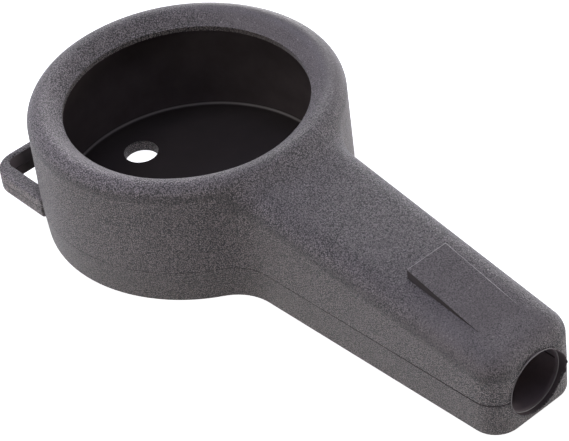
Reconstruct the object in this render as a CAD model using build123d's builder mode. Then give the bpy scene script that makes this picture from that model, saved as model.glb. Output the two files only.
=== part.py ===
from build123d import *
import os
from math import atan2, cos, degrees, hypot, radians, sin, sqrt, tan

# Moulded rubber boot for a 63 mm pressure gauge, with a hollow grip and a hanging eye.
#
# Frame: origin on the cup's axis in the plane it lies on, +X along the grip, +Z up, millimetres.
# The boot meets at one flat seam, so it is drawn whole and then divided into its two shells.

os.makedirs("parts", exist_ok=True)

# ---- seam and drafts -----------------------------------------------------------------
seam_height = 9.3
upper_draft = 0.3
lower_draft = 3.6

# ---- cup -------------------------------------------------------------------------------
gauge_case_diameter = 68.4
case_clearance = 0.3
gauge_case_depth = 25.4
cup_wall = 3.9
floor_thickness = 3.0
floor_corner_chamfer = 0.8
bottom_edge_chamfer = 0.6
rim_height = 33.4
rim_radius = 3.7
rim_bevel_angle = 41.0
opening_diameter = 59.6
lip_underside_rise = 0.8
floor_hole_diameter = 8.7
floor_hole_offset = 22.7

# ---- grip ------------------------------------------------------------------------------
grip_end = 113.1
grip_width_at_cup = 30.9
grip_width_at_end = 25.8
grip_end_height = 20.3
grip_drop_at_cup = 3.4
grip_top_radius = 5.6
grip_lower_draft = 1.0
grip_corner_radius = 6.4
grip_overlap = 0.5
neck_radius = 12.0
neck_search_margin = 0.3

# ---- bore through the grip ---------------------------------------------------------------
mouth_diameter = 16.2
mouth_height = 9.7
mouth_lip_depth = 2.2
bore_diameter_at_mouth = 17.0
bore_diameter_at_cup = 19.0

# ---- wedge on the grip -------------------------------------------------------------------
wedge_start = 80.6
wedge_length = 22.6
wedge_width = 12.0
wedge_step = 2.8
wedge_root = 1.0

# ---- hanging eye -------------------------------------------------------------------------
eye_reach_back = 38.0
eye_reach_side = 34.8
eye_side_bar = 3.9
eye_back_bar = 3.4
eye_height_above_seam = 2.5
eye_height_below_seam = 2.8
eye_corner_radius = 6.6
eye_inner_radius = 2.6
eye_side_end = 17.0
eye_back_end = 11.0
eye_end_radius = 0.7
eye_edge_radius = 0.5
eye_hole_flare_back = 1.3
eye_hole_flare_side = 0.2

# ---- worked out --------------------------------------------------------------------------
cavity_radius = gauge_case_diameter / 2 + case_clearance
cup_radius = cavity_radius + cup_wall
cup_top_radius = cup_radius - (rim_height - seam_height) * tan(radians(upper_draft))
opening_radius = opening_diameter / 2
rim_bevel_slope = tan(radians(rim_bevel_angle))
rim_bevel_start = rim_radius * (1 + sin(radians(rim_bevel_angle)))
rim_bevel_top = rim_height - rim_radius * (1 - cos(radians(rim_bevel_angle)))
rim_corner_height = rim_bevel_top + rim_bevel_slope * rim_bevel_start
opening_edge_height = rim_corner_height - rim_bevel_slope * (cup_top_radius - opening_radius)
lip_underside = floor_thickness + gauge_case_depth
cup_foot_radius = cup_radius - seam_height * tan(radians(lower_draft))
grip_root = sqrt(cup_foot_radius**2 - (grip_width_at_cup / 2) ** 2) - grip_overlap
grip_top_slope = atan2(rim_height - grip_drop_at_cup - grip_end_height, grip_end - cup_radius)
bore_start = opening_radius
bore_end = grip_end - mouth_lip_depth
bore_drop = floor_thickness + bore_diameter_at_cup / 2 - mouth_height
bore_length = hypot(bore_end - bore_start, bore_drop)
bore_taper = atan2((bore_diameter_at_cup - bore_diameter_at_mouth) / 2, bore_length)
seam_plane = Plane.XY.offset(seam_height)
turning_plane = Plane(origin=(0, 0, 0), x_dir=(-1, 0, 0), z_dir=(0, 1, 0))
grip_top_plane = Plane(
    origin=(grip_end, 0, grip_end_height),
    x_dir=(0, 1, 0),
    z_dir=(sin(grip_top_slope), 0, cos(grip_top_slope)),
)
bore_plane = Plane(
    origin=(bore_start, 0, mouth_height + bore_drop),
    x_dir=(0, 1, 0),
    z_dir=(bore_end - bore_start, 0, -bore_drop),
)


def grip_top(x):
    """Height of the grip's top line at x."""
    return grip_end_height + (grip_end - x) * tan(grip_top_slope)


def eye_hole_corners(share):
    """Corners of the eye's hole, from the seam (share 0) to the top of the bars (share 1)."""
    back = -eye_reach_back + eye_back_bar - share * eye_hole_flare_back
    side = -eye_reach_side + eye_side_bar - share * eye_hole_flare_side
    return [(back, side), (-eye_side_end - eye_back_bar, side), (back, -eye_back_end - eye_side_bar)]


def is_neck_edge(edge):
    """True for the edges where the grip runs into the cup's wall and rim."""
    points = [edge.position_at(share / 4) for share in range(5)]
    return all(
        point.X > grip_root
        and cup_top_radius - rim_radius < hypot(point.X, point.Y) < cup_radius + neck_search_margin
        for point in points
    )


# The cup as a solid drum. Its rim rises from the opening's edge as a bevel and rounds over to the wall.
with BuildPart() as cup_blank:
    with BuildSketch(turning_plane) as cup_profile:
        with BuildLine():
            Polyline(
                (0, 0),
                (cup_foot_radius, 0),
                (cup_radius, seam_height),
                (cup_top_radius, rim_corner_height),
                (opening_radius, opening_edge_height),
                (0, opening_edge_height),
                close=True,
            )
        make_face()
        fillet(cup_profile.vertices().group_by(Axis.Y)[-1], radius=rim_radius)
    revolve(axis=Axis.Z)

# The grip tapers to its end in width and in height, and drafts both ways from the seam.
with BuildPart() as grip_blank:
    with BuildSketch(seam_plane) as grip_plan:
        with BuildLine():
            Polyline(
                (grip_root, -grip_width_at_cup / 2),
                (grip_end, -grip_width_at_end / 2),
                (grip_end, grip_width_at_end / 2),
                (grip_root, grip_width_at_cup / 2),
                close=True,
            )
        make_face()
        fillet(grip_plan.vertices().group_by(Axis.X)[-1], radius=grip_corner_radius)
    extrude(amount=rim_height, taper=upper_draft)
    extrude(grip_plan.sketch, amount=-seam_height, taper=grip_lower_draft)
    split(bisect_by=grip_top_plane, keep=Keep.BOTTOM)
    top_face = grip_blank.faces().sort_by(Axis(grip_top_plane.origin, grip_top_plane.z_dir))[-1]
    fillet(top_face.edges().sort_by(Axis.X)[1:], radius=grip_top_radius)

# The eye: two bars that leave the cup at right angles and meet in a rounded corner.
# Its hole flares from the seam to the top, and runs down straight.
with BuildPart() as eye:
    with BuildSketch(seam_plane.offset(-eye_height_below_seam)) as eye_plan:
        with BuildLine():
            Polyline(
                (-eye_reach_back, -eye_reach_side),
                (-eye_side_end, -eye_reach_side),
                (-eye_side_end, -eye_back_end),
                (-eye_reach_back, -eye_back_end),
                close=True,
            )
        make_face()
        fillet(eye_plan.vertices().group_by(Axis.X)[0].sort_by(Axis.Y)[0], radius=eye_corner_radius)
        fillet(eye_plan.vertices().group_by(Axis.X)[-1].sort_by(Axis.Y)[0], radius=eye_end_radius)
        fillet(eye_plan.vertices().group_by(Axis.X)[0].sort_by(Axis.Y)[-1], radius=eye_end_radius)
    extrude(amount=eye_height_below_seam + eye_height_above_seam)
    fillet(eye.faces().filter_by(Axis.Z).edges(), radius=eye_edge_radius)
    with BuildSketch(seam_plane) as eye_hole:
        with BuildLine():
            Polyline(eye_hole_corners(0), close=True)
        make_face()
        fillet(eye_hole.vertices().group_by(Axis.X)[0].sort_by(Axis.Y)[0], radius=eye_inner_radius)
    extrude(amount=-eye_height_below_seam, mode=Mode.SUBTRACT)
    with BuildSketch(seam_plane.offset(eye_height_above_seam)) as eye_hole_top:
        with BuildLine():
            Polyline(eye_hole_corners(1), close=True)
        make_face()
        fillet(eye_hole_top.vertices().group_by(Axis.X)[0].sort_by(Axis.Y)[0], radius=eye_inner_radius)
    loft(sections=[eye_hole.sketch.face(), eye_hole_top.sketch.face()], mode=Mode.SUBTRACT)

# The wedge on top of the grip: a step at its cup end that runs out into the grip.
with BuildPart() as wedge:
    with BuildSketch(Plane.XZ):
        with BuildLine():
            Polyline(
                (wedge_start, grip_top(wedge_start) - wedge_root),
                (wedge_start, grip_top(wedge_start) + wedge_step),
                (wedge_start + wedge_length, grip_top(wedge_start + wedge_length)),
                (wedge_start + wedge_length, grip_top(wedge_start + wedge_length) - wedge_root),
                close=True,
            )
        make_face()
    extrude(amount=wedge_width / 2, both=True)

# What the boot leaves free for the gauge: its case, turned, with the lip's undercut.
with BuildPart() as gauge_space:
    with BuildSketch(turning_plane) as case_profile:
        with BuildLine():
            Polyline(
                (0, floor_thickness),
                (cavity_radius, floor_thickness),
                (cavity_radius, lip_underside),
                (opening_radius, lip_underside + lip_underside_rise),
                (opening_radius, rim_height),
                (0, rim_height),
                close=True,
            )
        make_face()
        chamfer(case_profile.vertices().group_by(Axis.Y)[0].sort_by(Axis.X)[-1], length=floor_corner_chamfer)
    revolve(axis=Axis.Z)

# The way through the grip for the gauge's stem or hose: a sloping cone, with a lip at its mouth.
with BuildPart() as stem_space:
    with BuildSketch(bore_plane):
        Circle(bore_diameter_at_cup / 2)
    extrude(amount=bore_length, taper=degrees(bore_taper))
    with BuildSketch(Plane.YZ.offset(bore_end)):
        with Locations((0, mouth_height)):
            Circle(mouth_diameter / 2)
    extrude(amount=2 * mouth_lip_depth, both=True)

with BuildPart() as boot:
    add(cup_blank.part)
    add(grip_blank.part)
    fillet(boot.edges().filter_by(is_neck_edge), radius=neck_radius)
    chamfer(boot.edges().group_by(Axis.Z)[0], length=bottom_edge_chamfer)
    add(eye.part)
    add(wedge.part)
    add(gauge_space.part, mode=Mode.SUBTRACT)
    add(stem_space.part, mode=Mode.SUBTRACT)
    with BuildSketch():
        with Locations((-floor_hole_offset, 0)):
            Circle(floor_hole_diameter / 2)
    extrude(amount=floor_thickness, mode=Mode.SUBTRACT)

with BuildPart() as upper_shell:
    add(boot.part)
    split(bisect_by=seam_plane, keep=Keep.TOP)

with BuildPart() as lower_shell:
    add(boot.part)
    split(bisect_by=seam_plane, keep=Keep.BOTTOM)

for name, shell in (("upper_shell", upper_shell), ("lower_shell", lower_shell)):
    shell.part.label = name
    export_step(shell.part, f"parts/{name}.step")
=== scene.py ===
from math import atan2, cos, hypot, radians, sin

import bmesh
import bpy
from bpy.props import FloatProperty, FloatVectorProperty, IntProperty, PointerProperty
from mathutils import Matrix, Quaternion, Vector, noise


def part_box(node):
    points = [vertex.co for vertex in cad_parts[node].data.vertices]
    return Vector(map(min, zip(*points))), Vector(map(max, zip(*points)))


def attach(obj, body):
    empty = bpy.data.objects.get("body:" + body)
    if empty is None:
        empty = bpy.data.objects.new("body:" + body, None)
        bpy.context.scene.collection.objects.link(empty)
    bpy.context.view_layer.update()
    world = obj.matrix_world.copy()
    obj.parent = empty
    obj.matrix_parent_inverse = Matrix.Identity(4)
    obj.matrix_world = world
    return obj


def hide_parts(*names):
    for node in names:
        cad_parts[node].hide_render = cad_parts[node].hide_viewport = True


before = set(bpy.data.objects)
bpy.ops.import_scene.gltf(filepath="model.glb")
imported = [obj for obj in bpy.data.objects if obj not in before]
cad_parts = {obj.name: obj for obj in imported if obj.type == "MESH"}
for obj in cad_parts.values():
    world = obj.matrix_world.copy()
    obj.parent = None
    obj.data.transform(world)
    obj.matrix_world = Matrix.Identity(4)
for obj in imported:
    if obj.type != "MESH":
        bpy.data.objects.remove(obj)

bl_info = {
    "name": "Gauge boot",
    "version": (1, 0, 0),
    "blender": (4, 5, 0),
    "location": "3D View > Sidebar > Gauge boot",
    "description": "Finishes the moulded rubber boot of a pressure gauge around its packed shells",
    "category": "Object",
}

MM = 0.001
ROOT = "root"
UPPER_LOW, UPPER_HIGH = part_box("upper_shell")
SEAM = UPPER_LOW[2]
GRIP_END = UPPER_HIGH[0]

# The shells' forms that the finish follows: the cup, the space for the gauge's case, the way
# through the grip for its stem, the wedge on the grip and the hanging eye's hole.
CUP_RADIUS = 38.4 * MM
CAVITY_RADIUS = 34.5 * MM
CAVITY_FLOOR = 3.0 * MM
CAVITY_TOP = 29.2 * MM
CORNER_CHAMFER = 0.8 * MM
BORE_START = 29.8 * MM
BORE_START_RADIUS = 9.5 * MM
BORE_START_HEIGHT = 12.5 * MM
BORE_END_RADIUS = 8.5 * MM
MOUTH_HEIGHT = 9.7 * MM
MOUTH_RADIUS = 8.1 * MM
MOUTH_DEPTH = 2.2 * MM
MOUTH_BACK = GRIP_END - MOUTH_DEPTH
GRIP_TOP_AT_END = 20.3 * MM
GRIP_TOP_SLOPE = 0.1299
WEDGE_START = 80.6 * MM
WEDGE_END = 103.2 * MM
WEDGE_HALF_WIDTH = 6.0 * MM
EYE_BACK = -34.6 * MM
EYE_BACK_FLARE = 1.6 * MM
EYE_SIDE = -30.9 * MM
EYE_SIDE_FLARE = 0.5 * MM


# ---- sizes and colours that a user would change --------------------------------------------


class BootShape(bpy.types.PropertyGroup):
    """Sizes of the finish that the shells carry."""

    smooth_angle: FloatProperty(
        name="Smooth angle", description="Edges sharper than this stay sharp",
        default=radians(28), subtype="ANGLE",
    )
    seam_height: FloatProperty(
        name="Seam height", description="Height of each half of the groove along the seam",
        default=0.24 * MM, unit="LENGTH",
    )
    seam_depth: FloatProperty(
        name="Seam depth", description="Depth of the groove along the seam",
        default=0.13 * MM, unit="LENGTH",
    )
    wedge_edge: FloatProperty(
        name="Wedge edge", description="Width of the bevel round the wedge's top",
        default=0.16 * MM, unit="LENGTH",
    )
    lip_proud: FloatProperty(
        name="Lip proud", description="How far the mouth's lip stands out of the grip's end",
        default=0.16 * MM, unit="LENGTH",
    )
    lip_width: FloatProperty(
        name="Lip width", description="Width of the mouth's lip", default=0.26 * MM, unit="LENGTH",
    )
    bead_width: FloatProperty(
        name="Bead width", description="Width of the bead behind the mouth's lip",
        default=0.75 * MM, unit="LENGTH",
    )
    lip_segments: IntProperty(
        name="Lip segments", description="Steps round the mouth's lip", default=128,
    )
    flash_reach: FloatProperty(
        name="Flash reach", description="How far the moulding flash at the mouth stands out",
        default=2.1 * MM, unit="LENGTH",
    )


class BootFinish(bpy.types.PropertyGroup):
    """Colours and grain of the rubber, and the colours of its painted light and shade."""

    upper_colour: FloatVectorProperty(
        name="Upper rubber", description="Colour of the grained rubber above the seam",
        default=(0.140, 0.116, 0.111), subtype="COLOR",
    )
    lower_colour: FloatVectorProperty(
        name="Lower rubber", description="Colour of the grained rubber below the seam",
        default=(0.123, 0.102, 0.096), subtype="COLOR",
    )
    # Painted light: the tops take this darker, bluer colour for the light that falls on them from
    # above.
    painted_top_colour: FloatVectorProperty(
        name="Painted top tint", description="Colour of the rubber where it faces up",
        default=(0.112, 0.097, 0.100), subtype="COLOR",
    )
    # Painted highlight along the thin edges round the wedge's top.
    edge_highlight_colour: FloatVectorProperty(
        name="Edge highlight", description="Colour of the painted highlight along thin edges",
        default=(0.85, 0.80, 0.78), subtype="COLOR",
    )
    # Painted highlight on the bead behind the mouth's lip and on one side of the lip's front.
    lip_highlight_colour: FloatVectorProperty(
        name="Mouth lip", description="Colour of the thin lip round the mouth",
        default=(0.17, 0.153, 0.149), subtype="COLOR",
    )
    floor_colour: FloatVectorProperty(
        name="Inner floor", description="Colour of the smooth rubber on the cup's floor",
        default=(0.026, 0.021, 0.021), subtype="COLOR",
    )
    # Painted light: the inner wall is lightened well above the floor's colour, to make up for the
    # shade inside the cup.
    wall_painted_light_colour: FloatVectorProperty(
        name="Inner wall", description="Colour of the smooth rubber on the cup's inner wall",
        default=(0.118, 0.096, 0.098), subtype="COLOR",
    )
    # Painted light: the bore is lighter than the outer rubber, to make up for the shade inside the
    # grip.
    bore_painted_light_colour: FloatVectorProperty(
        name="Bore", description="Colour of the smooth rubber inside the grip",
        default=(0.25, 0.205, 0.21), subtype="COLOR",
    )
    # Painted highlight: a thin pale line where the cup's floor turns to its wall, and its height
    # over the floor.
    corner_highlight_colour: FloatVectorProperty(
        name="Inner corner highlight", description="Colour of the line between the cup's floor and wall",
        default=(0.25, 0.225, 0.22), subtype="COLOR",
    )
    corner_highlight_height: FloatProperty(
        name="Corner highlight height", description="Height of the inner corner's pale line over the floor",
        default=0.45 * MM, unit="LENGTH",
    )
    seam_colour: FloatVectorProperty(
        name="Seam", description="Colour of the groove along the seam",
        default=(0.062, 0.053, 0.054), subtype="COLOR",
    )
    # Painted shade on the walls of the eye's hole and on the wedge's sides.
    eye_painted_shade_colour: FloatVectorProperty(
        name="Eye shade", description="Colour of the smooth walls of the eye's hole",
        default=(0.043, 0.036, 0.035), subtype="COLOR",
    )
    grain_size: FloatProperty(
        name="Grain size", description="Distance between the grain's pits",
        default=0.34 * MM, unit="LENGTH",
    )
    grain_depth: FloatProperty(
        name="Grain depth", description="Depth of the grain's pits",
        default=0.08 * MM, unit="LENGTH",
    )
    # Strength of the painted highlight and painted shade along rounded edges, and of the painted
    # highlights on the opening's near edge and the eye's outer side.
    rounding: FloatProperty(
        name="Painted light bands", description="Strength of the pale and dark bands along rounded edges",
        default=1.0, subtype="FACTOR",
    )
    grain_contrast: FloatProperty(
        name="Grain contrast", description="How much paler the grain's tops are than its pits",
        default=1.0, subtype="FACTOR",
    )


class BootStage(bpy.types.PropertyGroup):
    """Camera and light."""

    camera_azimuth: FloatProperty(
        name="Camera azimuth", description="Direction of the camera, from +X",
        default=radians(-37.655), subtype="ANGLE",
    )
    camera_elevation: FloatProperty(
        name="Camera elevation", description="Height of the camera as an angle",
        default=radians(39.541), subtype="ANGLE",
    )
    camera_roll: FloatProperty(
        name="Camera roll", description="Turn of the camera about its view",
        default=radians(-7.372), subtype="ANGLE",
    )
    camera_distance: FloatProperty(
        name="Camera distance", description="Distance from the camera to its aim",
        default=599.3 * MM, unit="LENGTH",
    )
    camera_lens: FloatProperty(
        name="Lens", description="Focal length in millimetres", default=162.07, unit="CAMERA",
    )
    light_scale: FloatProperty(
        name="Light scale", description="Common factor on every lamp",
        default=1.0, subtype="FACTOR",
    )


# ---- node groups -----------------------------------------------------------------------------

# Each range is what spread() takes: from low, from high, to start, to end.
# The grain's pebbles, specks, clouds and patches.
GRAIN_TURN = (0.62, 0.47, 0.35)
PEBBLE_LAYERS = (1.0, 1.27)
PEBBLE_RANDOMNESS = 0.9
PEBBLE_DOME = (0.255, 0.735, 0.5, 0.0)
PEBBLE_MIDDLE = 0.5
SPECK_DENSITY = 0.6
SPECK_HEIGHT = (0.68, 0.76, 0.0, 0.7)
CLOUD_HEIGHT = (0.35, 0.65, -0.04, 0.04)
PATCH_DEPTH = (0.38, 0.62, 0.85, 1.15)
TONE_LIMITS = (0.02, 2.0)

# Where the grain is worn flat, and where it is rough.
WORN_FAR_RIM = (14.0 * MM, 28.0 * MM, 1.0, 0.25)
WORN_GRIP_END = (72.0 * MM, 96.0 * MM, 0.0, 0.6)
WORN_HIGH = (15.0 * MM, 19.0 * MM, 0.0, 1.0)
WALL_TO_TOP = (0.2, 0.75, 3.4, 2.0)
ROUGH_FAR_ROUND = (7.0 * MM, 11.0 * MM, 0.0, 0.9)
ROUGH_ON_GRIP = (42.0 * MM, 52.0 * MM, 0.0, 1.0)

# The painted highlight and painted shade bands along rounded edges, and the painted tint of the
# tops, by how far the surface faces up.
PAINTED_HIGHLIGHT_RISE = (0.48, 0.66, 0.0, 0.16)
PAINTED_HIGHLIGHT_FALL = (0.76, 0.88, 1.0, 0.0)
PAINTED_SHADE_RISE = (0.02, 0.12, 0.0, -0.38)
PAINTED_SHADE_FALL = (0.28, 0.56, 1.0, 0.0)
PAINTED_TOP_RISE = (0.15, 0.75, 0.0, 1.0)

# The two painted highlights: the opening's near edge, and the eye's outer side.
RIM_HIGHLIGHT_OUTWARD = (34.2 * MM, 38.3 * MM, 0.9, 0.0)
RIM_HIGHLIGHT_NEAR = (-34.0 * MM, -6.0 * MM, 1.0, 0.0)
RIM_HIGHLIGHT_HIGH = (30.0 * MM, 31.5 * MM, 0.0, 1.0)
EYE_HIGHLIGHT_OUTSIDE = (-34.2 * MM, -33.0 * MM, 0.65, 0.0)
EYE_HIGHLIGHT_BEHIND = (-19.5 * MM, -17.0 * MM, 1.0, 0.0)


def new_group(name, inputs, outputs):
    """A shader node group with (name, socket type, default) inputs and (name, socket type) outputs.

    Returns the group, its input node and its output node."""
    group = bpy.data.node_groups.new(name, "ShaderNodeTree")
    for label, kind, value in inputs:
        socket = group.interface.new_socket(label, in_out="INPUT", socket_type=kind)
        socket.default_value = value
    for label, kind in outputs:
        group.interface.new_socket(label, in_out="OUTPUT", socket_type=kind)
    start = group.nodes.new("NodeGroupInput")
    end = group.nodes.new("NodeGroupOutput")
    return group, start, end


def feed(tree, value, target):
    """Links the value to the target where it is a socket, and sets the target to it otherwise."""
    if isinstance(value, bpy.types.NodeSocket):
        tree.links.new(value, target)
    else:
        target.default_value = value


def math_node(tree, operation, *values):
    """A Math node on one or two values, each a socket or a number; returns its output."""
    node = tree.nodes.new("ShaderNodeMath")
    node.operation = operation
    for socket, value in zip(node.inputs, values):
        feed(tree, value, socket)
    return node.outputs[0]


def total(tree, first, *others):
    """The sum of all the values."""
    for value in others:
        first = math_node(tree, "ADD", first, value)
    return first


def product(tree, first, *others):
    """The product of all the values."""
    for value in others:
        first = math_node(tree, "MULTIPLY", first, value)
    return first


def noise_node(tree, place, scale, detail, roughness):
    """A Noise texture at a place; returns its value."""
    node = tree.nodes.new("ShaderNodeTexNoise")
    feed(tree, place, node.inputs["Vector"])
    feed(tree, scale, node.inputs["Scale"])
    feed(tree, detail, node.inputs["Detail"])
    feed(tree, roughness, node.inputs["Roughness"])
    return node.outputs["Fac"]


def spread(tree, value, low, high, start, end):
    """Value mapped from one range to another, held at both ends."""
    node = tree.nodes.new("ShaderNodeMapRange")
    tree.links.new(value, node.inputs["Value"])
    ends = {"From Min": low, "From Max": high, "To Min": start, "To Max": end}
    for label, number in ends.items():
        node.inputs[label].default_value = number
    return node.outputs["Result"]


def overlap(tree, *bands):
    """The product of (value, range) pairs, each value spread over its range."""
    return product(tree, *[spread(tree, value, *limits) for value, limits in bands])


def object_place(tree):
    """Object coordinates, so the pattern stays on the rubber."""
    return tree.nodes.new("ShaderNodeTexCoord").outputs["Object"]


def axes(tree, place):
    """The X, Y and Z of a place, as sockets by those names."""
    parts = tree.nodes.new("ShaderNodeSeparateXYZ")
    tree.links.new(place, parts.inputs[0])
    return parts.outputs


def surface_upward(tree):
    """How far the surface faces up: 1 for a level top, 0 for a wall."""
    return axes(tree, tree.nodes.new("ShaderNodeTexCoord").outputs["Normal"])["Z"]


def pebbles(tree, place, scale):
    """One layer of rounded pebbles: highest in the middle of each, and 0 in the pits between."""
    node = tree.nodes.new("ShaderNodeTexVoronoi")
    tree.links.new(place, node.inputs["Vector"])
    tree.links.new(scale, node.inputs["Scale"])
    node.inputs["Randomness"].default_value = PEBBLE_RANDOMNESS
    return spread(tree, node.outputs["Distance"], *PEBBLE_DOME)


def grain_strength(tree, place):
    """How strong the grain is at a place.

    It is worn flatter on the cup's far rim and on top of the grip's end. It is stronger on walls
    than on tops, and strongest along the grip's far round."""
    parts = axes(tree, place)
    rim = spread(tree, parts["Y"], *WORN_FAR_RIM)
    grip_end = overlap(tree, (parts["X"], WORN_GRIP_END), (parts["Z"], WORN_HIGH))
    wall = spread(tree, surface_upward(tree), *WALL_TO_TOP)
    far = overlap(tree, (parts["Y"], ROUGH_FAR_ROUND), (parts["X"], ROUGH_ON_GRIP))
    return product(
        tree, rim, math_node(tree, "SUBTRACT", 1.0, grip_end), wall, total(tree, far, 1.0)
    )


def grain_group():
    """The spark-eroded mould's grain: pebbles with pits between, pale specks and slow clouds."""
    group, start, end = new_group(
        "moulded_grain",
        [("Vector", "NodeSocketVector", (0, 0, 0)), ("Size", "NodeSocketFloat", 0.6 * MM)],
        [("Height", "NodeSocketFloat"), ("Tone", "NodeSocketFloat")],
    )
    place = start.outputs["Vector"]
    scale = math_node(group, "DIVIDE", 1.0, start.outputs["Size"])

    # The pebbles' own grid is turned, so that it lies along none of the boot's faces.
    turned = group.nodes.new("ShaderNodeVectorRotate")
    turned.rotation_type = "EULER_XYZ"
    turned.inputs["Rotation"].default_value = GRAIN_TURN
    group.links.new(place, turned.inputs["Vector"])
    crisp = total(group, *[
        pebbles(group, turned.outputs[0], product(group, scale, density))
        for density in PEBBLE_LAYERS
    ])

    sparkle = noise_node(
        group, place, scale=product(group, scale, SPECK_DENSITY), detail=1.0, roughness=0.5
    )
    cloud = noise_node(group, place, scale=260.0, detail=3.0, roughness=0.55)
    patch = noise_node(group, place, scale=75.0, detail=2.0, roughness=0.5)
    depth = product(group, spread(group, patch, *PATCH_DEPTH), grain_strength(group, place))
    height = product(group, math_node(group, "SUBTRACT", crisp, PEBBLE_MIDDLE), depth)
    tone = total(
        group, height, spread(group, cloud, *CLOUD_HEIGHT), spread(group, sparkle, *SPECK_HEIGHT),
        PEBBLE_MIDDLE,
    )
    group.links.new(height, end.inputs["Height"])
    group.links.new(spread(group, tone, *TONE_LIMITS, *TONE_LIMITS), end.inputs["Tone"])
    return group


def painted_light_group():
    """Painted light and shade that follow the form.

    Factor is a painted highlight where the rubber starts to turn down, painted shade where it
    meets a wall, and a painted highlight on the opening's near edge and the eye's outer side.
    The second output grows with how far the surface faces up, for the painted tint of the tops."""
    group, start, end = new_group(
        "rounding",
        [("Strength", "NodeSocketFloat", 1.0)],
        [("Factor", "NodeSocketFloat"), ("Painted top tint", "NodeSocketFloat")],
    )
    upward = surface_upward(group)
    # Painted highlight where the rubber starts to turn down, and painted shade where it meets a
    # wall.
    pale = overlap(group, (upward, PAINTED_HIGHLIGHT_RISE), (upward, PAINTED_HIGHLIGHT_FALL))
    deep = overlap(group, (upward, PAINTED_SHADE_RISE), (upward, PAINTED_SHADE_FALL))
    parts = axes(group, object_place(group))
    along, across, high = (parts[axis] for axis in "XYZ")
    squares = total(group, product(group, across, across), product(group, along, along))
    radius = math_node(group, "SQRT", squares)
    # Painted highlights on the opening's near edge and on the eye's outer side.
    rim = overlap(group, (across, RIM_HIGHLIGHT_NEAR), (high, RIM_HIGHLIGHT_HIGH), (radius, RIM_HIGHLIGHT_OUTWARD))
    eye = overlap(group, (across, EYE_HIGHLIGHT_OUTSIDE), (along, EYE_HIGHLIGHT_BEHIND))
    change = total(group, pale, deep, total(group, rim, eye))
    factor = total(group, product(group, change, start.outputs["Strength"]), 1.0)
    group.links.new(factor, end.inputs["Factor"])
    group.links.new(spread(group, upward, *PAINTED_TOP_RISE), end.inputs["Painted top tint"])
    return group


# ---- materials -------------------------------------------------------------------------------

# Sockets of a Mix node that mixes colours.
MIX_SHARE, MIX_FIRST, MIX_SECOND, MIX_RESULT = 0, 6, 7, 2

# The rubber's velvet shine, and the swing of tone and gloss with the clouds on smooth rubber.
SHEEN = 0.35
SHEEN_ROUGHNESS = 0.45
SMOOTH_CLOUDS = (0.3, 0.7)
GLOSS_SWING = 0.05

# The wedge's painted edge highlight fades along x and is broken by a noise; the eye's painted
# shade darkens inwards along y; the inner corner's painted highlight line fades with the distance
# from its middle.
EDGE_HIGHLIGHT_FADE = (96.0 * MM, 103.0 * MM, 1.0, 0.0)
EDGE_HIGHLIGHT_BREAKS = (0.36, 0.52, 0.6, 1.0)
EYE_PAINTED_SHADE = (EYE_SIDE + 1.2 * MM, EYE_SIDE + 5.0 * MM, 0.0, 1.0)
CORNER_HIGHLIGHT_LINE = (0.06 * MM, 0.34 * MM, 1.0, 0.0)

# Order of the materials on both shells: the shell's own, the shared ones and the wedge's.
SHARED = (
    "inner_floor", "inner_wall_painted_light", "bore_painted_light", "inner_corner_with_highlight", "seam_rubber", "edge_highlight",
    "eye_painted_shade",
)
BODY, FLOOR, WALL, BORE, CORNER, GROOVE, EDGE_HIGHLIGHT, EYE, WEDGE = range(9)

# Order of the materials on the mouth's lip.
LIP_WALL, LIP_HIGHLIGHT, LIP_PLAIN, LIP_BORE = range(4)


def new_material(name, roughness, specular, sheen=0.0):
    """A material with its plain values set; returns the material, its tree and its shader."""
    material = bpy.data.materials.new(name)
    material.use_nodes = True
    shader = material.node_tree.nodes["Principled BSDF"]
    shader.inputs["Roughness"].default_value = roughness
    shader.inputs["Specular IOR Level"].default_value = specular
    shader.inputs["Sheen Weight"].default_value = sheen
    shader.inputs["Sheen Roughness"].default_value = SHEEN_ROUGHNESS
    return material, material.node_tree, shader


def group_node(tree, name, **values):
    """A node for the group of that name, with its inputs fed."""
    node = tree.nodes.new("ShaderNodeGroup")
    node.node_tree = bpy.data.node_groups[name]
    for label, value in values.items():
        feed(tree, value, node.inputs[label])
    return node


def mixed_colour(tree, share, first, second):
    """A colour that goes from the first to the second as the share goes from 0 to 1."""
    mix = tree.nodes.new("ShaderNodeMix")
    mix.data_type = "RGBA"
    mix.inputs[MIX_FIRST].default_value = (*first, 1.0)
    mix.inputs[MIX_SECOND].default_value = (*second, 1.0)
    tree.links.new(share, mix.inputs[MIX_SHARE])
    return mix.outputs[MIX_RESULT]


def scaled_colour(tree, colour, factor):
    """The colour times the factor."""
    node = tree.nodes.new("ShaderNodeVectorMath")
    node.operation = "SCALE"
    feed(tree, colour, node.inputs[0])
    feed(tree, factor, node.inputs["Scale"])
    return node.outputs[0]


def shaded_colour(tree, shader, tone, colour, contrast):
    """Base colour that runs from a darker to a paler shade of the colour with the tone."""
    shade = total(tree, product(tree, tone, 2.0 * contrast), 1.0 - contrast)
    tree.links.new(scaled_colour(tree, colour, shade), shader.inputs["Base Color"])


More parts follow.
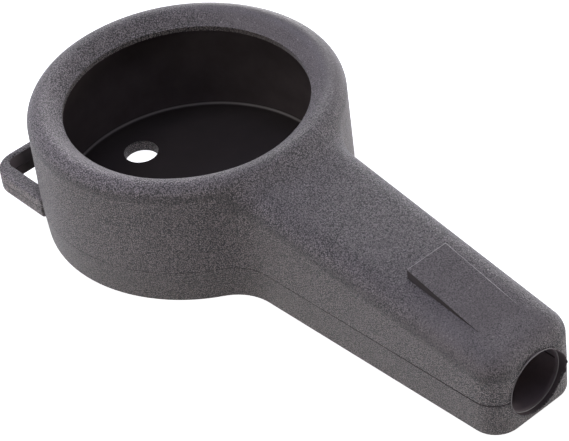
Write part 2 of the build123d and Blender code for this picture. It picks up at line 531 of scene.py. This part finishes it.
def grained_rubber(name, colour, finish, share):
    """Matt rubber with the mould's grain, at a share of the full depth and contrast."""
    material, tree, shader = new_material(name, roughness=0.5, specular=0.35, sheen=SHEEN)
    grain = group_node(tree, "moulded_grain", Vector=object_place(tree), Size=finish.grain_size)
    # Painted highlight and painted shade that follow the form, and the painted tint of the tops.
    turn = group_node(tree, "rounding", Strength=finish.rounding)
    # The colour runs to the painted tint of the tops as the surface faces up.
    painted_top_mix = mixed_colour(tree, turn.outputs["Painted top tint"], colour, finish.painted_top_colour)
    painted_light_colour = scaled_colour(tree, painted_top_mix, turn.outputs["Factor"])
    shaded_colour(tree, shader, grain.outputs["Tone"], painted_light_colour, finish.grain_contrast * share)
    bump = tree.nodes.new("ShaderNodeBump")
    bump.inputs["Strength"].default_value = 1.0
    bump.inputs["Distance"].default_value = finish.grain_depth * share
    tree.links.new(grain.outputs["Height"], bump.inputs["Height"])
    tree.links.new(bump.outputs["Normal"], shader.inputs["Normal"])
    return material


def smooth_rubber(name, colour, roughness, specular, cloud_scale=180.0, contrast=0.12):
    """Smooth rubber from a polished core, with slow clouds in its colour and its gloss."""
    material, tree, shader = new_material(name, roughness, specular)
    cloud = noise_node(tree, object_place(tree), cloud_scale, detail=3.0, roughness=0.6)
    shaded_colour(tree, shader, spread(tree, cloud, *SMOOTH_CLOUDS, 0.0, 1.0), colour, contrast)
    gloss = spread(tree, cloud, *SMOOTH_CLOUDS, roughness - GLOSS_SWING, roughness + GLOSS_SWING)
    tree.links.new(gloss, shader.inputs["Roughness"])
    return material


def edge_highlight(finish):
    """The painted highlight along the thin edge round the wedge's top, which fades where the wedge
    runs into the grip.
    """
    material, tree, shader = new_material("edge_highlight", roughness=0.45, specular=0.5)
    place = object_place(tree)
    breaks = noise_node(tree, place, scale=700.0, detail=2.0, roughness=0.6)
    share = overlap(tree, (axes(tree, place)["X"], EDGE_HIGHLIGHT_FADE), (breaks, EDGE_HIGHLIGHT_BREAKS))
    colour = mixed_colour(tree, share, finish.painted_top_colour, finish.edge_highlight_colour)
    tree.links.new(colour, shader.inputs["Base Color"])
    return material


def eye_painted_shade(finish):
    """The walls of the eye's hole: painted shade that darkens inwards, and as pale as the rest at
    the rounded corner.
    """
    material, tree, shader = new_material("eye_painted_shade", roughness=0.7, specular=0.15)
    share = spread(tree, axes(tree, object_place(tree))["Y"], *EYE_PAINTED_SHADE)
    colour = mixed_colour(tree, share, finish.upper_colour, finish.eye_painted_shade_colour)
    tree.links.new(colour, shader.inputs["Base Color"])
    return material


def corner_with_highlight(finish):
    """The chamfer round the cup's floor: dark, with a thin painted highlight line where it turns to
    the wall.
    """
    material, tree, shader = new_material("inner_corner_with_highlight", roughness=0.6, specular=0.2)
    height = axes(tree, object_place(tree))["Z"]
    away = math_node(tree, "SUBTRACT", height, CAVITY_FLOOR + finish.corner_highlight_height)
    share = spread(tree, math_node(tree, "ABSOLUTE", away), *CORNER_HIGHLIGHT_LINE)
    colour = mixed_colour(tree, share, finish.floor_colour, finish.corner_highlight_colour)
    tree.links.new(colour, shader.inputs["Base Color"])
    return material


def shared_materials(finish):
    """The finishes that both shells use, in the order of SHARED, and the groups: made once."""
    if "inner_floor" not in bpy.data.materials:
        smooth_rubber("inner_floor", finish.floor_colour, roughness=0.75, specular=0.12)
        # The inner wall and the bore are lightened as painted light.
        smooth_rubber("inner_wall_painted_light", finish.wall_painted_light_colour, roughness=0.75, specular=0.12)
        smooth_rubber("bore_painted_light", finish.bore_painted_light_colour, roughness=0.75, specular=0.12)
        corner_with_highlight(finish)
        eye_painted_shade(finish)
        smooth_rubber(
            "seam_rubber", finish.seam_colour, roughness=0.8, specular=0.1, cloud_scale=30.0,
            contrast=0.5,
        )
        edge_highlight(finish)
        grain_group()
        painted_light_group()
    return [bpy.data.materials[name] for name in SHARED]


# ---- the shells' places ----------------------------------------------------------------------

# How far a point may lie off a form and still count as on it.
CLOSE = 0.05 * MM
NEAR = 0.1 * MM
BORE_NEAR = 0.35 * MM
BORE_MARGIN = 0.01
MOUTH_EDGE = 0.4 * MM
CORNER_RISE = 0.02 * MM
WEDGE_RISE = 0.03 * MM
WEDGE_TIP = 0.5 * MM

# A face's upward share: above LEVEL it lies level, and HALF_LEVEL parts tops from walls.
LEVEL = 0.9
HALF_LEVEL = 0.5

# Points nearer than this are one point, or lie on one plane.
SAME_POINT = 0.002 * MM
SAME_CUT = 0.001 * MM
SAME_SEAM = 0.005 * MM

# The groove's shares of its set depth and height at the cup, and the powers by which they grow
# towards the grip's end.
SEAM_DEPTH_AT_CUP = 0.6
SEAM_DEPTH_POWER = 2
SEAM_HEIGHT_AT_CUP = 0.32
SEAM_HEIGHT_POWER = 6

# Angles for the wedge's top: its triangles lie flatter than the first, and its rim is sharper
# than the second.
FLAT_ANGLE = radians(1.0)
RIM_ANGLE = radians(60)


def merged_mesh(node_name):
    """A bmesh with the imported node's shape, its loose triangles joined."""
    bm = bmesh.new()
    bm.from_mesh(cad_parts[node_name].data)
    bmesh.ops.remove_doubles(bm, verts=bm.verts, dist=SAME_POINT)
    return bm


def in_bore(point):
    """True for a point on the wall of the way through the grip."""
    share = (point.x - BORE_START) / (MOUTH_BACK - BORE_START)
    if share < -BORE_MARGIN or point.x > GRIP_END - MOUTH_EDGE:
        return False
    if share > 1.0:
        return hypot(point.y, point.z - MOUTH_HEIGHT) < MOUTH_RADIUS + NEAR
    middle = BORE_START_HEIGHT + (MOUTH_HEIGHT - BORE_START_HEIGHT) * share
    radius = BORE_START_RADIUS + (BORE_END_RADIUS - BORE_START_RADIUS) * share
    return hypot(point.y, point.z - middle) < radius + BORE_NEAR


def in_cavity(point):
    """True for a point on the floor or wall of the space for the gauge's case."""
    radius = hypot(point.x, point.y)
    return radius < CAVITY_RADIUS + NEAR and CAVITY_FLOOR - CLOSE < point.z < CAVITY_TOP + NEAR


def on_corner(point):
    """True for a point on the chamfer between the cavity's floor and wall."""
    radius = hypot(point.x, point.y)
    return (
        CAVITY_RADIUS - CORNER_CHAMFER < radius < CAVITY_RADIUS - CLOSE
        and CAVITY_FLOOR + CORNER_RISE < point.z < CAVITY_FLOOR + CORNER_CHAMFER
    )


def in_eye(point):
    """True for a point on the walls of the eye's hole."""
    return (
        hypot(point.x, point.y) > CUP_RADIUS + NEAR
        and EYE_BACK - EYE_BACK_FLARE < point.x < 0.0
        and EYE_SIDE - EYE_SIDE_FLARE < point.y < 0.0
    )


def on_wedge(point):
    """True for a point on the wedge's top and sides."""
    top = GRIP_TOP_AT_END + (GRIP_END - point.x) * GRIP_TOP_SLOPE
    return (
        WEDGE_START - CLOSE < point.x < WEDGE_END
        and abs(point.y) < WEDGE_HALF_WIDTH + CLOSE
        and point.z > top + WEDGE_RISE
    )


# ---- the shells ------------------------------------------------------------------------------


def along_boot(point):
    """Share of the way from the cup's middle to the grip's end, held at both ends."""
    return min(1.0, max(0.0, point.x / GRIP_END))


def level_outward(vert):
    """Direction in which the walls round the vertex face, level; no length where there are none."""
    outward = Vector((0.0, 0.0, 0.0))
    for face in vert.link_faces:
        if abs(face.normal.z) < LEVEL:
            level = Vector((face.normal.x, face.normal.y, 0.0)).normalized()
            outward += level * face.calc_area()
    return outward.normalized()


def cut_seam_groove(bm, side, height, depth):
    """Opens half of the seam's groove round the outside; side is 1 above the seam and -1 below.

    The groove is faint round the cup and opens towards the grip's end. Returns its faces."""
    cut = SEAM + side * height
    bmesh.ops.bisect_plane(
        bm, geom=bm.verts[:] + bm.edges[:] + bm.faces[:], dist=SAME_CUT,
        plane_co=(0, 0, cut), plane_no=(0, 0, 1),
    )
    outside = [vert for vert in bm.verts if not in_bore(vert.co) and not in_cavity(vert.co)]
    moves = {}
    for vert in outside:
        if abs(vert.co.z - SEAM) <= SAME_SEAM:
            outward = level_outward(vert)
            if outward.length > 0.0:
                growth = SEAM_DEPTH_AT_CUP + along_boot(vert.co) ** SEAM_DEPTH_POWER
                moves[vert] = -outward * depth * growth
    for vert in outside:
        if abs(vert.co.z - cut) < SAME_POINT:
            growth = (1.0 - SEAM_HEIGHT_AT_CUP) * along_boot(vert.co) ** SEAM_HEIGHT_POWER
            vert.co.z = SEAM + side * height * (SEAM_HEIGHT_AT_CUP + growth)
    for vert, move in moves.items():
        vert.co += move
    return [
        face for face in bm.faces
        if 0.0 < side * (face.calc_center_median().z - SEAM) < height
        and any(vert in moves for vert in face.verts)
    ]


def mark_faces(bm, groove):
    """Gives each face the finish of its place."""
    for face in bm.faces:
        middle = face.calc_center_median()
        if on_corner(middle):
            face.material_index = CORNER
        elif in_bore(middle):
            face.material_index = BORE
        elif in_cavity(middle):
            face.material_index = FLOOR if middle.z < CAVITY_FLOOR + CLOSE else WALL
        elif in_eye(middle) and abs(face.normal.z) < HALF_LEVEL:
            face.material_index = EYE
        elif on_wedge(middle):
            # The wedge's sides take the eye's painted shade.
            face.material_index = WEDGE if face.normal.z > HALF_LEVEL else EYE
        else:
            face.material_index = BODY
    for face in groove:
        face.material_index = GROOVE


def is_wedge_rim(edge):
    """True for an edge round the wedge's top, up to its tip."""
    return (
        len(edge.link_faces) == 2
        and edge.calc_face_angle() > RIM_ANGLE
        and all(
            on_wedge(vert.co + Vector((0, 0, CLOSE))) or vert.co.x > WEDGE_END - WEDGE_TIP
            for vert in edge.verts
        )
    )


def bevel_wedge(bm, width):
    """Bevels the edges round the wedge's top and gives the new faces the painted edge highlight.

    The bevel on the wedge's near side keeps the wedge's own finish."""
    top = [face for face in bm.faces if face.material_index == WEDGE and face.normal.z > LEVEL]
    inner = {e for face in top for e in face.edges if all(other in top for other in e.link_faces)}
    result = bmesh.ops.dissolve_limit(
        bm, angle_limit=FLAT_ANGLE, verts=list({vert for face in top for vert in face.verts}),
        edges=list(inner),
    )
    joined = [face for face in result["region"] if face.is_valid and face.normal.z > LEVEL]
    top = joined or [face for face in top if face.is_valid]
    rim = [edge for edge in {edge for face in top for edge in face.edges} if is_wedge_rim(edge)]
    bmesh.ops.bevel(
        bm, geom=rim, offset=width, offset_type="OFFSET", segments=2, profile=0.5,
        affect="EDGES", clamp_overlap=True, material=EDGE_HIGHLIGHT,
    )
    for face in bm.faces:
        near = face.calc_center_median().y < width - WEDGE_HALF_WIDTH
        if face.material_index == EDGE_HIGHLIGHT and near:
            face.material_index = WEDGE


def write_piece(bm, piece_name, materials, smooth_angle):
    """Makes the bmesh an object that shades smooth, apart from its sharp edges."""
    mesh = bpy.data.meshes.new(piece_name)
    bm.to_mesh(mesh)
    bm.free()
    mesh.polygons.foreach_set("use_smooth", [True] * len(mesh.polygons))
    mesh.set_sharp_from_angle(angle=smooth_angle)
    for material in materials:
        mesh.materials.append(material)
    piece = bpy.data.objects.new(piece_name, mesh)
    bpy.context.scene.collection.objects.link(piece)
    steady = piece.modifiers.new("steady_normals", "WEIGHTED_NORMAL")
    steady.mode = "FACE_AREA_WITH_ANGLE"
    steady.weight = 60
    steady.keep_sharp = True
    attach(piece, ROOT)
    return piece


class BOOT_OT_upper_shell(bpy.types.Operator):
    """Add the boot's upper shell with its grained finish"""

    bl_idname = "boot.upper_shell"
    bl_label = "Upper shell"

    def execute(self, context):
        shape, finish = context.scene.boot_shape, context.scene.boot_finish
        shared = shared_materials(finish)
        body = grained_rubber("upper_grained", finish.upper_colour, finish, share=1.0)
        # The wedge's top takes the painted tint of the tops as its colour.
        wedge = grained_rubber("wedge_rubber", finish.painted_top_colour, finish, share=0.8)
        bm = merged_mesh("upper_shell")
        mark_faces(bm, cut_seam_groove(bm, 1, shape.seam_height, shape.seam_depth))
        bevel_wedge(bm, shape.wedge_edge)
        materials = [body, *shared, wedge]
        piece = write_piece(bm, "upper_shell_rubber", materials, shape.smooth_angle)
        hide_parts("upper_shell")
        return {"FINISHED"}


class BOOT_OT_lower_shell(bpy.types.Operator):
    """Add the boot's lower shell with its smoother finish"""

    bl_idname = "boot.lower_shell"
    bl_label = "Lower shell"

    def execute(self, context):
        shape, finish = context.scene.boot_shape, context.scene.boot_finish
        shared = shared_materials(finish)
        body = grained_rubber("lower_grained", finish.lower_colour, finish, share=0.9)
        bm = merged_mesh("lower_shell")
        mark_faces(bm, cut_seam_groove(bm, -1, shape.seam_height, shape.seam_depth))
        materials = [body, *shared, body]
        piece = write_piece(bm, "lower_shell_rubber", materials, shape.smooth_angle)
        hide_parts("lower_shell")
        return {"FINISHED"}


# ---- the mouth's lip -------------------------------------------------------------------------

# The lip's section: how it covers the mouth's wall and sinks into the shells, and its bead.
LIP_COVER = 0.06 * MM
LIP_SINK = 0.03 * MM
BEAD_FOOT_RISE = 0.18 * MM
BEAD_RISE = 0.20 * MM
BEAD_SHOULDER = 0.16 * MM
BEAD_SHOULDER_RISE = 0.15 * MM
BEAD_LENGTH = 0.28 * MM
LIP_TURN = 0.1 * MM
LIP_FRONT_SHARE = 0.7
LIP_END_SINK = 0.02 * MM

# Where one finish gives way to the next along the lip, and the turns between which its front
# carries a painted highlight.
BEAD_FINISH_START = 0.02 * MM
BEAD_FINISH_END = 0.25 * MM
LIP_FINISH_START = 0.03 * MM
FLASH_FINISH_START = 0.1 * MM
LIP_HIGHLIGHT_FROM = radians(15)
LIP_HIGHLIGHT_TO = radians(205)

# The lip's ragged front: swing, and place and scale in the noise.
RAGGED_SWING = 0.5
RAGGED_LAYER = 0.3
RAGGED_SCALE = 2.6

# The flash: its middle and half span as turns, how fast it falls off to both sides, and how far
# it is torn, with the place and scale of that in the noise.
FLASH_MIDDLE = radians(18)
FLASH_HALF_SPAN = radians(56)
FLASH_NARROWING = 1.6
TORN_MEAN = 0.55
TORN_SWING = 0.6
TORN_SCALE = 9.0
TORN_LAYER = (1.7, 4.1)


def bead_front(shape):
    """Where along x the bead behind the lip starts to fall to the mouth's wall."""
    return MOUTH_BACK + shape.bead_width


def lip_section(shape):
    """The lip's section as (x, radius): up the step, along the wall and over the proud edge."""
    wall = MOUTH_RADIUS - LIP_COVER
    back = MOUTH_BACK - LIP_SINK
    bead = bead_front(shape)
    front = GRIP_END + shape.lip_proud
    return [
        (back, BORE_END_RADIUS),
        (back, wall - BEAD_FOOT_RISE),
        (bead, wall - BEAD_RISE),
        (bead + BEAD_SHOULDER, wall - BEAD_SHOULDER_RISE),
        (bead + BEAD_LENGTH, wall),
        (GRIP_END - LIP_TURN, wall),
        (front, wall + LIP_TURN),
        (front, wall + shape.lip_width * LIP_FRONT_SHARE),
        (GRIP_END - LIP_END_SINK, wall + shape.lip_width),
    ]


def spun_lip(shape):
    """A bmesh of the lip: its section turned once round the mouth's middle."""
    bm = bmesh.new()
    verts = [bm.verts.new((x, 0.0, MOUTH_HEIGHT + radius)) for x, radius in lip_section(shape)]
    edges = [bm.edges.new(pair) for pair in zip(verts, verts[1:])]
    bmesh.ops.spin(
        bm, geom=verts + edges, cent=(0, 0, MOUTH_HEIGHT), axis=(1, 0, 0), dvec=(0, 0, 0),
        angle=radians(360), steps=shape.lip_segments, use_merge=True, use_normal_flip=False,
        use_duplicate=False,
    )
    bmesh.ops.recalc_face_normals(bm, faces=bm.faces)
    return bm


def turn_in_mouth(point):
    """Turn of the point round the mouth's middle, from +Y."""
    return atan2(point.z - MOUTH_HEIGHT, point.y)


def tear_flash(bm, shape):
    """Makes the lip's front ragged, and draws the flash out of it.

    The flash stands out most on the far side, from the seam upwards."""
    for vert in bm.verts:
        if vert.co.x < GRIP_END - CLOSE:
            continue
        turn = turn_in_mouth(vert.co)
        ragged = noise.noise(Vector((cos(turn), sin(turn), RAGGED_LAYER)) * RAGGED_SCALE)
        off = turn - FLASH_MIDDLE
        far = cos(off * FLASH_NARROWING) if abs(off) < FLASH_HALF_SPAN else 0.0
        torn = noise.noise(Vector((turn * TORN_SCALE, *TORN_LAYER)))
        reach = shape.lip_proud * RAGGED_SWING * ragged
        reach += shape.flash_reach * far**2 * (TORN_MEAN + TORN_SWING * torn)
        vert.co.x += (vert.co.x - GRIP_END) / shape.lip_proud * reach


def mark_lip(bm, shape):
    """Gives each of the lip's faces the finish of its place."""
    bead = bead_front(shape)
    front = GRIP_END + shape.lip_proud
    for face in bm.faces:
        middle = face.calc_center_median()
        if middle.x < bead - BEAD_FINISH_START:
            face.material_index = LIP_BORE
        # The bead behind the lip carries the painted highlight.
        elif middle.x < bead + BEAD_FINISH_END:
            face.material_index = LIP_HIGHLIGHT
        elif middle.x < GRIP_END - LIP_FINISH_START or middle.x > front + FLASH_FINISH_START:
            face.material_index = LIP_WALL
        # Between these turns the lip's front carries the painted highlight; elsewhere it stays
        # plain.
        elif LIP_HIGHLIGHT_FROM < turn_in_mouth(middle) % radians(360) < LIP_HIGHLIGHT_TO:
            face.material_index = LIP_HIGHLIGHT
        else:
            face.material_index = LIP_PLAIN


class BOOT_OT_mouth_lip(bpy.types.Operator):
    """Add the thin lip that the core pin left round the mouth, with its torn flash"""

    bl_idname = "boot.mouth_lip"
    bl_label = "Mouth lip"

    def execute(self, context):
        shape, finish = context.scene.boot_shape, context.scene.boot_finish
        shared_materials(finish)
        # The lip's painted highlight.
        edge = smooth_rubber("lip_highlight", finish.lip_highlight_colour, roughness=0.5, specular=0.4)
        wall, plain, bore = (
            bpy.data.materials[name] for name in ("inner_wall_painted_light", "lower_grained", "bore_painted_light")
        )
        bm = spun_lip(shape)
        tear_flash(bm, shape)
        mark_lip(bm, shape)
        piece = write_piece(bm, "mouth_lip", [wall, edge, plain, bore], shape.smooth_angle)
        return {"FINISHED"}


# ---- the stage -------------------------------------------------------------------------------

# What the camera looks at, in millimetres: the root of the grip.
AIM = (33.21, -1.08, 12.0)
CLIP_START = 0.01
FLOOR_SIZE = 6.0
FLOOR_COLOUR = (0.8, 0.8, 0.8, 1.0)
WHITE = (1.0, 1.0, 1.0, 1.0)

# Soft boxes round the boot: name, azimuth, elevation, size in metres, watts, colour.
COOL = (0.92, 0.95, 1.28)
PLAIN = (1.0, 1.0, 1.0)
SOFT_BOXES = (
    ("low_far_right", 45, 8, 0.24, 2.31, PLAIN),
    ("low_far", 90, 8, 0.24, 1.64, PLAIN),
    ("low_far_left", 135, 8, 0.24, 2.72, PLAIN),
    ("low_near_left", 225, 8, 0.24, 0.97, PLAIN),
    ("low_near", 270, 8, 0.24, 0.36, PLAIN),
    ("right", 0, 25, 0.3, 0.20, PLAIN),
    ("near", 270, 25, 0.3, 0.72, PLAIN),
    ("far_right", 45, 45, 0.3, 0.23, PLAIN),
    ("left", 180, 45, 0.3, 1.85, COOL),
    ("high_right", 0, 66, 0.3, 0.50, COOL),
    ("high_left", 180, 66, 0.3, 0.35, COOL),
    ("high_near_left", 240, 66, 0.3, 1.65, PLAIN),
    ("high_near_right", 300, 66, 0.3, 0.38, PLAIN),
    ("overhead", 0, 90, 0.3, 1.25, COOL),
)


def put_in_scene(name, data, place, turn):
    """A camera or lamp as an object at its place, turned; returns the object."""
    item = bpy.data.objects.new(name, data)
    item.location = place
    item.rotation_mode = "QUATERNION"
    item.rotation_quaternion = turn
    bpy.context.scene.collection.objects.link(item)
    return item


def add_camera(stage):
    """The camera: it looks at the aim from the given direction, turned about its view."""
    direction = Vector((1.0, 0.0, 0.0))
    direction.rotate(Quaternion((0, 1, 0), -stage.camera_elevation))
    direction.rotate(Quaternion((0, 0, 1), stage.camera_azimuth))
    data = bpy.data.cameras.new("camera")
    data.lens = stage.camera_lens
    data.clip_start = CLIP_START
    place = Vector(AIM) * MM + direction * stage.camera_distance
    turn = (-direction).to_track_quat("-Z", "Y") @ Quaternion((0, 0, 1), stage.camera_roll)
    bpy.context.scene.camera = put_in_scene("camera", data, place, turn)


def add_soft_box(name, azimuth, elevation, size, power, colour):
    """A square area light a metre from the boot that faces it."""
    place = Vector((
        cos(radians(azimuth)) * cos(radians(elevation)),
        sin(radians(azimuth)) * cos(radians(elevation)),
        sin(radians(elevation)),
    ))
    data = bpy.data.lights.new(name, "AREA")
    data.size = size
    data.energy = power
    data.color = colour
    put_in_scene(name, data, place, place.to_track_quat("Z", "Y"))


def white_backdrop(tree, target):
    """Strength 1 for what the camera, the rubber's gloss and clear things see; 0 for the rest."""
    path = tree.nodes.new("ShaderNodeLightPath")
    seen = math_node(tree, "MAXIMUM", path.outputs["Is Camera Ray"], path.outputs["Is Glossy Ray"])
    seen = math_node(tree, "MAXIMUM", seen, path.outputs["Is Transmission Ray"])
    tree.links.new(seen, target)


class BOOT_OT_stage(bpy.types.Operator):
    """Add the floor, the lights and the camera"""

    bl_idname = "boot.stage"
    bl_label = "Stage"

    def execute(self, context):
        scene = context.scene
        scene.view_settings.view_transform = "Standard"
        add_camera(scene.boot_stage)

        bpy.ops.mesh.primitive_plane_add(size=FLOOR_SIZE, location=(0.0, 0.0, 0.0))
        floor = context.object
        floor.name = "floor"
        material, tree, shader = new_material("floor_white", roughness=0.9, specular=0.5)
        shader.inputs["Base Color"].default_value = FLOOR_COLOUR
        shader.inputs["Emission Color"].default_value = WHITE
        white_backdrop(tree, shader.inputs["Emission Strength"])
        floor.data.materials.append(material)

        world = bpy.data.worlds.new("studio")
        scene.world = world
        world.use_nodes = True
        back = world.node_tree.nodes["Background"]
        back.inputs["Color"].default_value = WHITE
        white_backdrop(world.node_tree, back.inputs["Strength"])

        for name, azimuth, elevation, size, power, colour in SOFT_BOXES:
            watts = power * scene.boot_stage.light_scale
            add_soft_box(name, azimuth, elevation, size, watts, colour)
        return {"FINISHED"}


# ---- panel and registration --------------------------------------------------------------------

PIECES = (BOOT_OT_upper_shell, BOOT_OT_lower_shell, BOOT_OT_mouth_lip, BOOT_OT_stage)


class BOOT_PT_panel(bpy.types.Panel):
    """Lists the boot's pieces and its stage"""

    bl_idname = "BOOT_PT_panel"
    bl_label = "Gauge boot"
    bl_space_type = "VIEW_3D"
    bl_region_type = "UI"
    bl_category = "Gauge boot"

    def draw(self, context):
        for operator in PIECES:
            self.layout.operator(operator.bl_idname)


GROUPS = {"boot_shape": BootShape, "boot_finish": BootFinish, "boot_stage": BootStage}


def register():
    for kind in (*GROUPS.values(), *PIECES, BOOT_PT_panel):
        bpy.utils.register_class(kind)
    for name, kind in GROUPS.items():
        setattr(bpy.types.Scene, name, PointerProperty(type=kind))


def unregister():
    for name in GROUPS:
        delattr(bpy.types.Scene, name)
    for kind in (BOOT_PT_panel, *reversed(PIECES), *reversed(list(GROUPS.values()))):
        bpy.utils.unregister_class(kind)


def main():
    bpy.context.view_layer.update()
    register()
    bpy.ops.boot.stage()
    bpy.ops.boot.upper_shell()
    bpy.ops.boot.lower_shell()
    bpy.ops.boot.mouth_lip()


if __name__ == "__main__":
    main()
